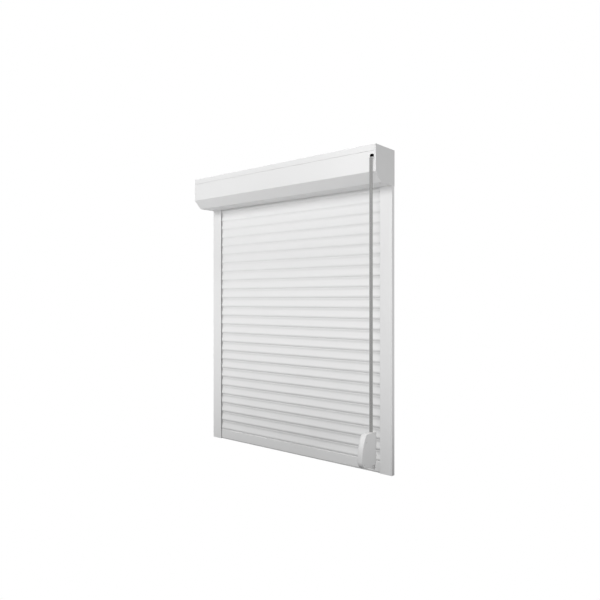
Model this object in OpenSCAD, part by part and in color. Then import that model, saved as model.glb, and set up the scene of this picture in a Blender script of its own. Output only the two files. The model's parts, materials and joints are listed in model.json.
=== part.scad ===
// Exterior roller shutter with a strap drive, front mounted on a wall.
// +X runs to the right seen from outside, +Y into the wall, +Z up.
// The wall is the plane y = 0 and the origin is the centre of the four wall screws.

/* [Overall] */
// Width over the end caps
overall_w = 1000; // [800:10:1400]
// Length of the guide rails below the box
rail_l = 1094; // [900:2:1160]

/* [Roller box] */
// Height of the box
box_h = 135; // [130:1:160]
// Depth of the box from the wall
box_d = 133; // [130:1:160]
// Leg of the 45 degree underside
box_chamfer = 35; // [20:1:40]
// Sheet thickness of the panels
sheet_t = 1.5; // [1:0.1:2]
// Height of the top panel's front flange
flange_h = 23; // [18:1:27]
// Width of the seam under that flange
seam_gap = 1; // [0.5:0.1:1.5]
// Thickness of the end caps' plates
cap_t = 4; // [3:0.5:6]
// Depth of the end caps' inner rim
cap_rim_d = 18; // [14:1:20]
// Thickness of that rim
cap_rim_t = 2; // [1.5:0.1:2.5]
// Distance from the panel's rear edge to the curtain
throat_gap = 3; // [2:0.5:5]

/* [Guide rails] */
// Width of a rail
rail_w = 53; // [50:1:60]
// Depth of a rail
rail_d = 18; // [17:0.5:22]
// Wall thickness of a rail
rail_wall = 1.5; // [1.2:0.1:1.8]
// Depth of the channel that the curtain runs in
channel_w = 27; // [26:0.5:28]
// Setback of the rail's outer side from the box end
rail_inset = 1.7; // [1:0.1:3]
// Distance between the upper and the lower wall screw
screw_span = 900; // [600:10:960]
// Bore of the wall screw holes
screw_bore_d = 6; // [5:0.5:7]
// Bore of the access holes in the rail front
plug_d = 12; // [10:0.5:14]

/* [Curtain] */
// Pitch of two closed slats
slat_pitch = 40; // [38:0.5:42]
// Thickness of a slat
slat_t = 8; // [7.6:0.1:8.4]
// Radius of a slat's hollow front
slat_r = 50; // [46:1:80]
// Radius of a slat's bowed back
slat_back_r = 100; // [95:1:140]
// Radius of the round lip along a slat's lower edge
slat_lip = 14; // [13:0.5:16]
// Height of that lip's foremost line above the lower edge
lip_up = 9.5; // [8:0.5:10]
// Height of the open gap between two hanging slats
slot_open = 1.8; // [1.4:0.1:2]
// Height of the closed zone under the box
closed_zone = 258; // [150:1:350]
// Distance from the wall to the curtain's back
curtain_back = 4; // [3.8:0.1:4.2]
// Height of the bottom bar with its seal
bar_h = 43.5; // [40:0.5:55]
// Height of the sill seal that shows
seal_h = 4; // [3:0.5:6]
// Wall thickness of the bottom bar
bar_wall = 1.2; // [1:0.1:1.5]

/* [Winding gear] */
// Setback of the tube's axis behind the middle of the box
axis_off = 0.5; // [0:0.5:2]
// Height of the tube's axis above the box bottom
axis_up = 67; // [66:0.5:68]
// Winding tube across its flats
tube_af = 40; // [36:1:44]
// Wall of the winding tube
tube_wall = 1; // [0.8:0.1:1.5]
// Diameter of the tube's end pins
pin_d = 12; // [10:0.5:13]
// Outside diameter of the bearings
bearing_d = 28; // [26:1:30]
// Width of the bearings
bearing_w = 8; // [7:0.5:9]
// Air between the strap pulley's flanges and the strap guide
pulley_air = 1.5; // [1:0.1:3]
// Diameter of the pulley's core
pulley_core_d = 60; // [56:1:62]

/* [Strap] */
// Width of the strap
strap_w = 14; // [12:0.5:15]
// Thickness of the strap
strap_t = 1.2; // [1:0.1:1.5]
// Distance of the strap's middle from the box end
strap_in = 17; // [16.5:0.1:18]
// Gap between the box front and the hanging strap
strap_off = 4.5; // [3.5:0.1:6]
// Depth below the box top at which the strap comes out
outlet_down = 46; // [42:0.5:50]
// Dark gap above the strap in the outlet
outlet_gap = 11.5; // [8:0.5:13]
// Radius of the rounded nose under the strap
nose_r = 4; // [3.5:0.1:4.5]

/* [Strap winder] */
// Width of the winder
winder_w = 26; // [26:0.5:32]
// Depth of the winder
winder_d = 90.5; // [84:0.5:95]
// Height of the winder
winder_h = 119; // [114:1:140]
// Height of the winder's bottom above the sill
winder_up = 66; // [30:1:200]
// Setback of the winder's back behind the box front
winder_back = 10; // [9:0.5:12]
// Wall of the winder case
winder_wall = 2; // [1.5:0.1:2.5]
// Radius of the winder's bowed front
winder_bow_r = 165; // [130:1:200]
// Height of that bow below the winder's top
winder_bow_h = 86; // [70:1:88]
// Radius of the winder's upper front corner
winder_r_top = 12; // [8:1:14]
// Radius of the winder's lower front corner
winder_r_foot = 25; // [18:1:26]
// Height of the base plate's tab below the winder
base_tab_h = 18; // [16:1:24]
// Distance between the base plate's two screws
winder_span = 116; // [100:1:116]
// Diameter of the reel's flanges
reel_d = 72; // [66:1:74]
// Diameter of the reel's axle
axle_d = 8; // [6:0.5:9]

/* [Hidden] */
$fn = 64;
// Play between two pieces that touch flat or sit in one another
play = 0.1;
// Radial play of a turning fit
run = 0.05;
// Air between a moving piece and its guide
air = 0.4;
// Overcut that takes a hole clear through a wall
through = 1;

// Places of the main planes
half_w = overall_w / 2;
sill_z = -rail_l / 2;
box_z0 = rail_l / 2;
box_z1 = box_z0 + box_h;
cap_x = half_w - cap_t;
rail_x1 = half_w - rail_inset;
rail_x0 = rail_x1 - rail_w;
chamber_x0 = rail_x0 + channel_w + rail_wall;
chamber_x1 = rail_x1 - rail_wall;
screw_x = (chamber_x0 + chamber_x1) / 2;

// Curtain
slat_back = -curtain_back;
slat_front = slat_back - slat_t;
slat_body = slat_pitch - play;
slat_mid = slat_body / 2;
web_t = 1;
web_y = 3.8;
bulb_t = 2.6;
bulb_h = 2;
mouth_h = 3.5;
neck_h = mouth_h + slot_open + play;
slat_run = 22;
slat_half = rail_x0 + slat_run;
open_pitch = slat_pitch + slot_open;
open_n = round((rail_l - bar_h - closed_zone) / open_pitch);
open_top = bar_h + open_n * open_pitch + slat_pitch;
slat_hidden = 15;
closed_n = ceil((rail_l + slat_hidden - open_top) / slat_pitch);
slat_n = open_n + 1 + closed_n;
curtain_top = sill_z + slat_rise(slat_n) + slat_body;

// The slat's front: the lip's circle, and the hollow's that runs into it from the upper edge
lip_mid = [slat_lip, lip_up];
lip_lap = 0.05;
hollow_reach = slat_r + slat_lip - lip_lap;
lip_to_edge = [0, slat_body] - lip_mid;
lip_edge_d = norm(lip_to_edge);
lip_dir = lip_to_edge / lip_edge_d;
hollow_along = (pow(hollow_reach, 2) - pow(slat_r, 2) + pow(lip_edge_d, 2)) / (2 * lip_edge_d);
hollow_off = sqrt(pow(hollow_reach, 2) - pow(hollow_along, 2));
hollow_mid = lip_mid + hollow_along * lip_dir + hollow_off * [-lip_dir[1], lip_dir[0]];
lip_top = lip_up + (hollow_mid[1] - lip_up) * slat_lip / hollow_reach;

// Weather strips and inlets in the rails
strip_w = 5;
strip_t = 1.2;
lip = 1.2;
rib_x = rail_x0 + lip + strip_w + 2 * play;
clear_x = rib_x + lip + air;
fin_w = 2;
inlet_d = 25;
inlet_up = 19;
inlet_x1 = rail_x0 + channel_w - air;
inlet_slope_z = 10;
inlet_slope_y = 1;
inlet_air = 0.6;
inlet_end = 2;

// Winding gear
axis_y = -box_d / 2 + axis_off;
axis_z = box_z0 + axis_up;
boss_wall = 5;
boss_floor = 2;
boss_l = bearing_w + boss_floor;
boss_d = bearing_d + 2 * boss_wall;
strap_x = half_w - strap_in;
pulley_gap = 1;
pulley_flange_t = 1.5;
pulley_x0 = strap_x - strap_w / 2 - pulley_gap - pulley_flange_t;
pulley_x1 = strap_x + strap_w / 2 + pulley_gap + pulley_flange_t;
coil_t = 7;
pulley_coil_r = pulley_core_d / 2 + play + coil_t;
plug_l = 45;
tube_gap = 8;
tube_x0 = -(cap_x - boss_l - tube_gap);
tube_x1 = pulley_x0 - play;

// Strap route in the plane of its run: pulley, nose, winder reel
strap_y = -box_d - strap_off;
nose_y = strap_y + play + nose_r;
nose_z = box_z1 - outlet_down - strap_t - play - nose_r;
turn_gap = 0.3;
run_r = pulley_coil_r + turn_gap;
bend_r = nose_r + play;
run_dy = nose_y - axis_y;
run_dz = nose_z - axis_z;
run_d = norm([run_dy, run_dz]);
run_angle = atan2(run_dz, run_dy) - acos((run_r - bend_r) / run_d);
outlet_air = 1.5;
outlet_w = strap_w + 2 * outlet_air;
roller_r = 5;
roller_behind = 9.5;
roller_pin_d = 4;

// Strap winder
winder_x0 = strap_x - winder_w / 2;
winder_x1 = strap_x + winder_w / 2;
winder_y1 = -box_d + winder_back;
winder_y0 = winder_y1 - winder_d;
winder_z0 = sill_z + winder_up;
winder_z1 = winder_z0 + winder_h;
winder_r_back = 3;
cover_t = 2;
cover_in = 0.6;
bow_y = winder_y0 + winder_bow_r;
bow_z = winder_z1 - winder_bow_h;
top_z = winder_z1 - winder_r_top;
top_y = bow_y - sqrt(pow(winder_bow_r - winder_r_top, 2) - pow(top_z - bow_z, 2));
base_t = 2.5;
base_bore_d = 4.5;
base_hole_in = 8.5;
drum_r = 15;
drum_wall = 2;
hub_wall = 1.5;
hub_r = axle_d / 2 + hub_wall;
reel_coil_r = 24.5;
reel_flange_t = 1.5;
reel_y = strap_y - strap_t - turn_gap - reel_coil_r;
reel_drop = 5;
reel_z = (winder_z0 + winder_z1) / 2 - reel_drop;
reel_x0 = strap_x - strap_w / 2 - pulley_gap - reel_flange_t;
reel_x1 = strap_x + strap_w / 2 + pulley_gap + reel_flange_t;
screw_head_d = 7;
screw_head_h = 2;
screw_shank_d = 3.5;
screw_past = 4;

// Height of the lower edge of slat i above the sill
function slat_rise(i) =
    bar_h + min(i - 1, open_n) * open_pitch + max(i - 1 - open_n, 0) * slat_pitch;
function slat_name(i) = str("slat_", i < 10 ? "0" : "", i);
// Outline of the box, moved inwards by t
function box_points(t) =
    let (k = t * (sqrt(2) - 1))
    [
        [-t, box_z0 + t],
        [-(box_d - box_chamfer) + k, box_z0 + t],
        [-box_d + t, box_z0 + box_chamfer + k],
        [-box_d + t, box_z1 - t],
        [-t, box_z1 - t],
    ];

// Extrudes a (y, z) outline along X
module along_x(x0, x1) {
    translate([x0, 0, 0]) rotate([90, 0, 90]) linear_extrude(x1 - x0) children();
}

// A rod along X
module rod_x(x0, x1, y, z, d) {
    translate([x0, y, z]) rotate([0, 90, 0]) cylinder(d = d, h = x1 - x0);
}

// A rod along Y
module rod_y(x, y0, y1, z, d) {
    translate([x, y1, z]) rotate([90, 0, 0]) cylinder(d = d, h = y1 - y0);
}

module block(low, high) {
    translate(low) cube(high - low);
}

// A rectangle between two corners
module area(low, high) {
    translate(low) square(high - low);
}

module left_side() {
    mirror([1, 0, 0]) children();
}

module both_sides() {
    children();
    left_side() children();
}

// The box outline moved inwards
module box_outline(t) {
    polygon(box_points(t));
}

// Roller box

module box_back_panel() {
    color("white") along_x(-cap_x, cap_x) area([-sheet_t, box_z0], [0, box_z1 - sheet_t]);
}

tongue_h = 7;

module box_top_panel() {
    color("white") {
        along_x(-cap_x, cap_x) {
            area([-box_d, box_z1 - sheet_t], [0, box_z1]);
            area([-box_d, box_z1 - flange_h], [-box_d + sheet_t, box_z1]);
        }
        // Tongue behind the seam, between the two end caps' rims
        along_x(-cap_x + cap_rim_d + play, cap_x - cap_rim_d - play) {
            area(
                [-box_d + sheet_t, box_z1 - flange_h - tongue_h],
                [-box_d + 2 * sheet_t, box_z1 - sheet_t]
            );
        }
    }
}

throat_y = slat_front - throat_gap;
hem_h = 6;
panel_top = box_z1 - flange_h - seam_gap;
outlet_z0 = nose_z - nose_r - play;
outlet_z1 = box_z1 - outlet_down + outlet_gap;
panel_screw_x = cap_x - cap_rim_d / 2;
panel_screw_in = 14;
panel_screw_ys = [-(box_d - box_chamfer) + panel_screw_in, throat_y - panel_screw_in];

module box_front_panel() {
    color("white") difference() {
        union() {
            along_x(-cap_x, cap_x) difference() {
                box_outline(0);
                box_outline(sheet_t);
                area([-box_d - through, panel_top], [through, box_z1 + through]);
                area([throat_y, box_z0 - through], [through, box_z1 + through]);
            }
            // Hem along the throat
            along_x(-cap_x, cap_x) area([throat_y - sheet_t, box_z0], [throat_y, box_z0 + hem_h]);
        }
        block(
            [strap_x - outlet_w / 2, -box_d - through, outlet_z0],
            [strap_x + outlet_w / 2, -box_d + sheet_t + through, outlet_z1]
        );
        for (side = [-1, 1], y = panel_screw_ys) {
            translate([side * panel_screw_x, y, box_z0 - through])
                cylinder(d = screw_shank_d + 2 * play, h = sheet_t + 2 * through);
        }
    }
}

rim_in = sheet_t + play;
rebate_d = 9;
rebate_h = 3.5;
rebate_t = 1;
lug_l = 30;
lug_air = 1;
lug_front = max(throat_y + air, -rail_d + rail_wall + lug_air);

// Right end cap: plate, rim inside the panels, bearing boss and the lug in the rail
module end_cap() {
    difference() {
        union() {
            along_x(cap_x, half_w) box_outline(0);
            along_x(cap_x - cap_rim_d, cap_x) difference() {
                box_outline(rim_in);
                box_outline(rim_in + cap_rim_t);
                // Clear of the front panel's hem
                area(
                    [throat_y - sheet_t - air, box_z0],
                    [throat_y + air, box_z0 + rim_in + 2 * cap_rim_t]
                );
            }
            rod_x(cap_x - boss_l, cap_x, axis_y, axis_z, boss_d);
            block(
                [chamber_x0 + lug_air, lug_front, box_z0 - lug_l],
                [cap_x, -rail_wall - lug_air, box_z0 + rim_in + cap_rim_t]
            );
        }
        rod_x(
            cap_x - boss_l - through, cap_x - boss_l + bearing_w + play,
            axis_y, axis_z, bearing_d + 2 * play
        );
        // Rebates along the rear and the top edge
        block(
            [half_w - rebate_t, -rebate_d, box_z0 - through],
            [half_w + through, through, box_z1 + through]
        );
        block(
            [half_w - rebate_t, -box_d + cap_t, box_z1 - rebate_h],
            [half_w + through, through, box_z1 + through]
        );
        for (y = panel_screw_ys) {
            translate([panel_screw_x, y, box_z0])
                cylinder(d = screw_shank_d + 2 * play, h = rim_in + cap_rim_t + through);
        }
    }
}

module end_cap_left() {
    color("white") left_side() end_cap();
}

module end_cap_right() {
    color("white") difference() {
        end_cap();
        block(
            [cap_x - cap_rim_d - through, -box_d - through, guide_z0 - air],
            [cap_x, -box_d + rim_in + cap_rim_t + through, outlet_z1 + air]
        );
    }
}

module panel_screws() {
    color("silver") for (side = [-1, 1], y = panel_screw_ys) {
        translate([side * panel_screw_x, y, box_z0 - screw_head_h]) {
            cylinder(d = screw_head_d, h = screw_head_h);
            cylinder(d = screw_shank_d, h = screw_head_h + rim_in + cap_rim_t + screw_past);
        }
    }
}

// Guide rails

module rail_section() {
    y0 = -rail_d + rail_wall;
    y1 = -rail_wall;
    difference() {
        area([rail_x0, -rail_d], [rail_x1, 0]);
        area([rail_x0 - through, y0], [rail_x0 + channel_w, y1]);
        area([chamber_x0, y0], [chamber_x1, y1]);
    }
    for (x = [rail_x0, rib_x]) {
        area([x, y0 - play], [x + lip, y0 + lip]);
        area([x, y1 - lip], [x + lip, y1 + play]);
    }
}

module guide_rail() {
    difference() {
        translate([0, 0, sill_z]) linear_extrude(rail_l) rail_section();
        for (z = [-screw_span / 2, screw_span / 2]) {
            rod_y(screw_x, -rail_wall - through, through, z, screw_bore_d);
            rod_y(screw_x, -rail_d - through, -rail_d + rail_wall + through, z, plug_d);
        }
    }
}

module guide_rail_left() {
    color("white") left_side() guide_rail();
}

module guide_rail_right() {
    color("white") guide_rail();
}

// Front and rear weather strip of the right rail
module rail_strip_pair() {
    y0 = -rail_d + rail_wall;
    x0 = rail_x0 + lip + play;
    fin_x = x0 + (strip_w - fin_w) / 2;
    translate([0, 0, sill_z]) linear_extrude(rail_l - inlet_d - play) {
        area([x0, y0], [x0 + strip_w, y0 + strip_t]);
        area([fin_x, y0], [fin_x + fin_w, slat_front - air]);
        area([x0, -rail_wall - strip_t], [x0 + strip_w, -rail_wall]);
        area([fin_x, slat_back + air], [fin_x + fin_w, -rail_wall]);
    }
}

module rail_strips() {
    color("dimgray") both_sides() rail_strip_pair();
}

// Funnel in the top of the right rail: a cheek on each side of the curtain and the web that joins them
module rail_inlet() {
    z0 = box_z0 - inlet_d;
    z1 = box_z0 + inlet_up;
    y0 = -rail_d + rail_wall + play;
    y1 = -rail_wall - play;
    front = slat_front - inlet_air;
    back = slat_back + inlet_air;
    bend = z1 - inlet_slope_z;
    along_x(clear_x, inlet_x1) {
        polygon([
            [y0, z0], [front, z0], [front, bend], [front - inlet_slope_y, z1],
            [throat_y + play, z1], [throat_y + play, box_z0], [y0, box_z0],
        ]);
        polygon([
            [y1, z0], [y1, box_z0], [-sheet_t - play, box_z0], [-sheet_t - play, z1],
            [back + inlet_slope_y, z1], [back, bend], [back, z0],
        ]);
    }
    along_x(slat_half + inlet_end, inlet_x1) area([y0, z0], [y1, box_z0]);
}

module rail_inlets() {
    color("dimgray") both_sides() rail_inlet();
}

plug_skirt = 4;

module rail_plugs() {
    color("white") for (side = [-1, 1], z = [-screw_span / 2, screw_span / 2]) {
        rod_y(side * screw_x, -rail_d, -rail_d + plug_skirt, z, plug_d - 2 * play);
    }
}

// Winding gear

module bearing() {
    x0 = cap_x - boss_l;
    difference() {
        rod_x(x0, x0 + bearing_w, axis_y, axis_z, bearing_d);
        rod_x(x0 - through, x0 + bearing_w + through, axis_y, axis_z, pin_d + 2 * run);
    }
}

module tube_bearings() {
    color("silver") both_sides() bearing();
}

tube_sides = 8;
half_side = 180 / tube_sides;

// An octagonal prism along X, af across the flats
module octagon_x(x0, x1, af) {
    translate([x0, axis_y, axis_z]) rotate([0, 90, 0]) rotate([0, 0, half_side])
        cylinder(d = af / cos(half_side), h = x1 - x0, $fn = tube_sides);
}

module winding_tube() {
    color("silver") difference() {
        octagon_x(tube_x0, tube_x1, tube_af);
        octagon_x(tube_x0 - through, tube_x1 + through, tube_af - 2 * tube_wall);
    }
}

pin_l = bearing_w;
collar_t = 3;
collar_over = 2;
plug_af = tube_af - 2 * tube_wall - 2 * play;

// Idler plug in the tube's left end, with the pin that turns in the left bearing
module tube_plug() {
    pin_x0 = -(cap_x - boss_l) - pin_l;
    color("black") {
        octagon_x(tube_x0, tube_x0 + plug_l, plug_af);
        rod_x(tube_x0 - collar_t, tube_x0, axis_y, axis_z, tube_af + 2 * collar_over);
        rod_x(pin_x0, tube_x0, axis_y, axis_z, pin_d);
    }
}

boss_air = 2;
pulley_recess_d = boss_d + 3 * boss_air;

// Strap pulley: two flanges on a core, a hub in the tube's right end and the pin in the right bearing
module strap_pulley() {
    recess_x = cap_x - boss_l - boss_air;
    color("black") {
        difference() {
            union() {
                rod_x(pulley_x0, pulley_x0 + pulley_flange_t, axis_y, axis_z, pulley_d);
                rod_x(pulley_x1 - pulley_flange_t, pulley_x1, axis_y, axis_z, pulley_d);
                rod_x(pulley_x0, pulley_x1, axis_y, axis_z, pulley_core_d);
            }
            rod_x(recess_x, pulley_x1 + through, axis_y, axis_z, pulley_recess_d);
        }
        octagon_x(pulley_x0 - plug_l, pulley_x0, plug_af);
        rod_x(pulley_x0, cap_x - boss_l + pin_l, axis_y, axis_z, pin_d);
    }
}

// A wound stretch of strap: a ring between two radii
module strap_ring(y, z, r0, r1) {
    x0 = strap_x - strap_w / 2;
    x1 = strap_x + strap_w / 2;
    difference() {
        rod_x(x0, x1, y, z, 2 * r1);
        rod_x(x0 - through, x1 + through, y, z, 2 * r0);
    }
}

module pulley_strap_coil() {
    color("gray") strap_ring(axis_y, axis_z, pulley_core_d / 2 + play, pulley_coil_r);
}

hanger_w = 25;
hanger_t = 1;
hanger_n = 3;
hanger_clip_t = 3;
hanger_clip_l = 12;
hanger_rise = 8;

// Spring strips from the tube's upper rear flat to the web of the top slat
module curtain_hangers() {
    web_face = slat_front + web_y - bulb_t / 2 - play;
    toe_z = curtain_top + neck_h - play - hanger_t;
    web_top = curtain_top + neck_h + bulb_h;
    bend_z = web_top + hanger_rise;
    clip_r = tube_af / 2 + play;
    start_y = axis_y + (clip_r + hanger_clip_t / 2) * cos(45);
    start_z = axis_z + (clip_r + hanger_clip_t / 2) * sin(45);
    strip_l = norm([web_face - start_y, bend_z - start_z]);
    strip_angle = atan2(bend_z - start_z, web_face - start_y);
    step = 2 * slat_half / hanger_n;
    color("silver") for (i = [0:hanger_n - 1]) {
        x = (i - (hanger_n - 1) / 2) * step;
        along_x(x - hanger_w / 2, x + hanger_w / 2) {
            translate([axis_y, axis_z]) rotate(45)
                area([clip_r, -hanger_clip_l / 2], [clip_r + hanger_clip_t, hanger_clip_l / 2]);
            translate([start_y, start_z]) rotate(strip_angle)
                area([0, -hanger_t / 2], [strip_l, hanger_t / 2]);
            area([web_face - hanger_t, toe_z], [web_face, bend_z + hanger_t / 2]);
            // Toe under the bulb of the top slat
            area(
                [web_face - hanger_t, toe_z],
                [slat_front + web_y - web_t / 2 - play, toe_z + hanger_t]
            );
        }
    }
}

// Strap and its guides

cheek_t = 2;
cheek_gap = 0.5;
roller_side = 0.5;
roller_w = strap_w + 2 * roller_side;
roller_y = -box_d + sheet_t + roller_behind;
// The roller's top meets the strap's straight run
roller_z = axis_z
    + (run_r - roller_r - turn_gap - (roller_y - axis_y) * cos(run_angle)) / sin(run_angle);
cheek_x0 = strap_x - roller_w / 2 - cheek_gap - cheek_t;
cheek_x1 = strap_x + roller_w / 2 + cheek_gap + cheek_t;
guide_reach = 4.5;
guide_back = roller_y + guide_reach;
pulley_d = 2 * (axis_y - guide_back - pulley_air);
guide_in = -box_d + sheet_t + play;
guide_t = 2;
guide_drop = 6;
guide_z0 = outlet_z0 - guide_drop;

// Fairlead behind the outlet: a plate with two cheeks for the roller pin, and the nose in front
module strap_guide() {
    color("white") difference() {
        union() {
            along_x(cheek_x0, cheek_x1) area([guide_in, guide_z0], [guide_in + guide_t, nose_z]);
            for (x = [cheek_x0, cheek_x1 - cheek_t]) {
                along_x(x, x + cheek_t) area([guide_in, guide_z0], [guide_back, roller_z + roller_r]);
            }
            along_x(strap_x - outlet_w / 2 + play, strap_x + outlet_w / 2 - play) {
                translate([nose_y, nose_z]) circle(nose_r);
            }
            along_x(strap_x - outlet_w / 2 + play, strap_x + outlet_w / 2 - play) {
                area([nose_y, nose_z - nose_r], [guide_in + guide_t, nose_z]);
            }
        }
        rod_x(cheek_x0 - through, cheek_x1 + through, roller_y, roller_z, roller_pin_d + 2 * run);
    }
}

module guide_roller() {
    color("lightgray") difference() {
        rod_x(strap_x - roller_w / 2, strap_x + roller_w / 2, roller_y, roller_z, 2 * roller_r);
        rod_x(
            strap_x - roller_w / 2 - through, strap_x + roller_w / 2 + through,
            roller_y, roller_z, roller_pin_d + 2 * run
        );
    }
}

module roller_pin() {
    color("silver") rod_x(cheek_x0, cheek_x1, roller_y, roller_z, roller_pin_d);
}

// Points of an arc from angle a0 to a1
function arc(centre, r, a0, a1, steps = 16) =
    [for (i = [0:steps]) let (a = a0 + (a1 - a0) * i / steps) centre + r * [cos(a), sin(a)]];

// The strap from the pulley over the nose and down into the winder
module lift_strap() {
    axis = [axis_y, axis_z];
    nose = [nose_y, nose_z];
    out = [cos(run_angle), sin(run_angle)];
    color("gray") along_x(strap_x - strap_w / 2, strap_x + strap_w / 2) polygon(concat(
        [axis + (run_r + strap_t) * out],
        arc(nose, bend_r + strap_t, run_angle, 180),
        [[strap_y - strap_t, reel_z], [strap_y, reel_z]],
        arc(nose, bend_r, 180, run_angle),
        [axis + run_r * out]
    ));
}

// Strap winder

// The case outline in the (y, z) plane, moved inwards by t
module winder_outline(t) {
    low = [winder_y0 + t, winder_z0 + t];
    high = [winder_y1 - t, winder_z1 - t];
    lean = [top_y - bow_y, top_z - bow_z] / (winder_bow_r - winder_r_top);
    reach = 3 * winder_r_top;
    difference() {
        area(low, high);
        // In front of the bow
        difference() {
            area([low[0] - through, bow_z], [bow_y, high[1] + through]);
            translate([bow_y, bow_z]) circle(winder_bow_r - t, $fn = 256);
        }
        // Outside the upper front corner
        translate([top_y, top_z]) difference() {
            polygon([[0, 0], [0, reach], [-reach, reach], reach * lean]);
            circle(winder_r_top - t);
        }
        cut_corner(low, [1, 1], winder_r_foot - t);
        cut_corner([high[0], low[1]], [-1, 1], winder_r_back - t);
        cut_corner(high, [-1, -1], winder_r_back - t);
    }
}

// The waste outside a rounded corner whose arc lies inwards along dir
module cut_corner(corner, dir, r) {
    if (r > 0) translate(corner) difference() {
        area([min(dir[0], 0) * r - max(dir[0], 0), min(dir[1], 0) * r - max(dir[1], 0)],
            [max(dir[0], 0) * r - min(dir[0], 0), max(dir[1], 0) * r - min(dir[1], 0)]);
        translate(dir * r) circle(r);
        translate(dir * r) area([min(dir[0], 0) * r, -2 * r], [max(dir[0], 0) * r, 2 * r]);
        translate(dir * r) area([-2 * r, min(dir[1], 0) * r], [2 * r, max(dir[1], 0) * r]);
    }
}

strap_slot_air = 0.8;

module winder_case() {
    color("white") difference() {
        along_x(winder_x0, winder_x1) winder_outline(0);
        along_x(winder_x0 + winder_wall, winder_x1 + through) winder_outline(winder_wall);
        // Rear opening for the base plate, open below for its tab
        block(
            [winder_x0 + winder_wall, winder_y1 - winder_wall - through, winder_z0 - through],
            [base_x1 + play, winder_y1 + through, winder_z1 - winder_r_back]
        );
        // Slot for the strap
        along_x(strap_x - strap_w / 2 - strap_slot_air, strap_x + strap_w / 2 + strap_slot_air) area(
            [strap_y - strap_t - strap_slot_air, winder_z1 - winder_wall - through],
            [strap_y + strap_slot_air, winder_z1 + through]
        );
        rod_x(
            winder_x0 + winder_wall / 2, winder_x0 + winder_wall + through,
            reel_y, reel_z, axle_d + 2 * play
        );
    }
}

cover_screw_in = 14;
cover_screw_d = 3;
cover_screw_l = 10;
cover_screw_out = 0.4;
cover_screw_places = [
    [winder_y0 + 2 * cover_screw_in, winder_z1 - 2 * cover_screw_in],
    [winder_y0 + cover_screw_in, winder_z0 + cover_screw_in],
];

module winder_cover() {
    x1 = winder_x1 - cover_in;
    color("white") difference() {
        along_x(x1 - cover_t, x1) winder_outline(winder_wall + play);
        rod_x(x1 - cover_t - through, x1 - cover_t / 2, reel_y, reel_z, axle_d + 2 * play);
        for (p = cover_screw_places) {
            rod_x(x1 - cover_t - through, x1 + through, p[0], p[1], cover_screw_d + 2 * play);
        }
    }
}

module winder_screws() {
    x1 = winder_x1 - cover_in;
    color("silver") for (p = cover_screw_places) {
        rod_x(x1 - cover_screw_l, x1 + cover_screw_out, p[0], p[1], cover_screw_d);
    }
}

base_x0 = winder_x0 + winder_wall + play;
base_x1 = winder_x1 - cover_t - cover_in - winder_wall - play;

base_z0 = winder_z0 - base_tab_h;

// Base plate with a screw hole in its tab and one behind the reel
module winder_base_plate() {
    color("white") difference() {
        block(
            [base_x0, winder_y1 - base_t, base_z0],
            [base_x1, winder_y1, winder_z1 - winder_r_back - play]
        );
        for (z = [base_z0 + base_hole_in, base_z0 + base_hole_in + winder_span]) {
            rod_y(strap_x, winder_y1 - base_t - through, winder_y1 + through, z, base_bore_d);
        }
    }
}

module winder_axle() {
    color("silver") rod_x(
        winder_x0 + winder_wall / 2 + play, winder_x1 - cover_in - cover_t / 2 - play,
        reel_y, reel_z, axle_d
    );
}

// Reel: hub on the axle, drum round the spring, two flanges
module winder_reel() {
    color("black") difference() {
        union() {
            rod_x(reel_x0, reel_x0 + reel_flange_t, reel_y, reel_z, reel_d);
            rod_x(reel_x1 - reel_flange_t, reel_x1, reel_y, reel_z, reel_d);
            rod_x(reel_x0, reel_x1, reel_y, reel_z, 2 * drum_r);
        }
        difference() {
            rod_x(
                reel_x0 + reel_flange_t, reel_x1 + through,
                reel_y, reel_z, 2 * (drum_r - drum_wall)
            );
            rod_x(reel_x0, reel_x1 + through, reel_y, reel_z, 2 * hub_r);
        }
        rod_x(reel_x0 - through, reel_x1 + through, reel_y, reel_z, axle_d + 2 * run);
    }
}

module winder_spring() {
    x0 = reel_x0 + reel_flange_t + play;
    x1 = reel_x1 - reel_flange_t;
    color("dimgray") difference() {
        rod_x(x0, x1, reel_y, reel_z, 2 * (drum_r - drum_wall - play));
        rod_x(x0 - through, x1 + through, reel_y, reel_z, 2 * (hub_r + play));
    }
}

module reel_strap_coil() {
    color("gray") strap_ring(reel_y, reel_z, drum_r + play, reel_coil_r);
}

// Curtain

// Outline of a slat, front at y = 0 and lower edge at z = 0
module slat_section() {
    difference() {
        intersection() {
            area([0, 0], [slat_t, slat_body]);
            translate([slat_t - slat_back_r, slat_mid]) circle(slat_back_r, $fn = 256);
        }
        translate(hollow_mid) circle(slat_r, $fn = 256);
        // In front of the lip
        difference() {
            area([-through, -through], [slat_lip, lip_top]);
            translate(lip_mid) circle(slat_lip, $fn = 256);
        }
        // Groove that holds the web of the piece below
        area([web_y - web_t / 2 - air, -through], [web_y + web_t / 2 + air, mouth_h + through]);
        area([web_y - bulb_t / 2 - air, mouth_h], [web_y + bulb_t / 2 + air, neck_h + bulb_h + air]);
    }
}

// The web on a piece's top edge z, and the bulb on it that hangs in the piece above
module web_section(z) {
    area([web_y - web_t / 2, z - play], [web_y + web_t / 2, z + neck_h + play]);
    area([web_y - bulb_t / 2, z + neck_h], [web_y + bulb_t / 2, z + neck_h + bulb_h]);
}

module slat(i) {
    color("white") translate([0, slat_front, sill_z + slat_rise(i)]) {
        along_x(-slat_half, slat_half) slat_section();
        along_x(-slat_half, slat_half) web_section(slat_body);
    }
}

bar_half = clear_x;
seal_stem_w = 3;
seal_stem_h = 4;
seal_foot_t = 1;

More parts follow.
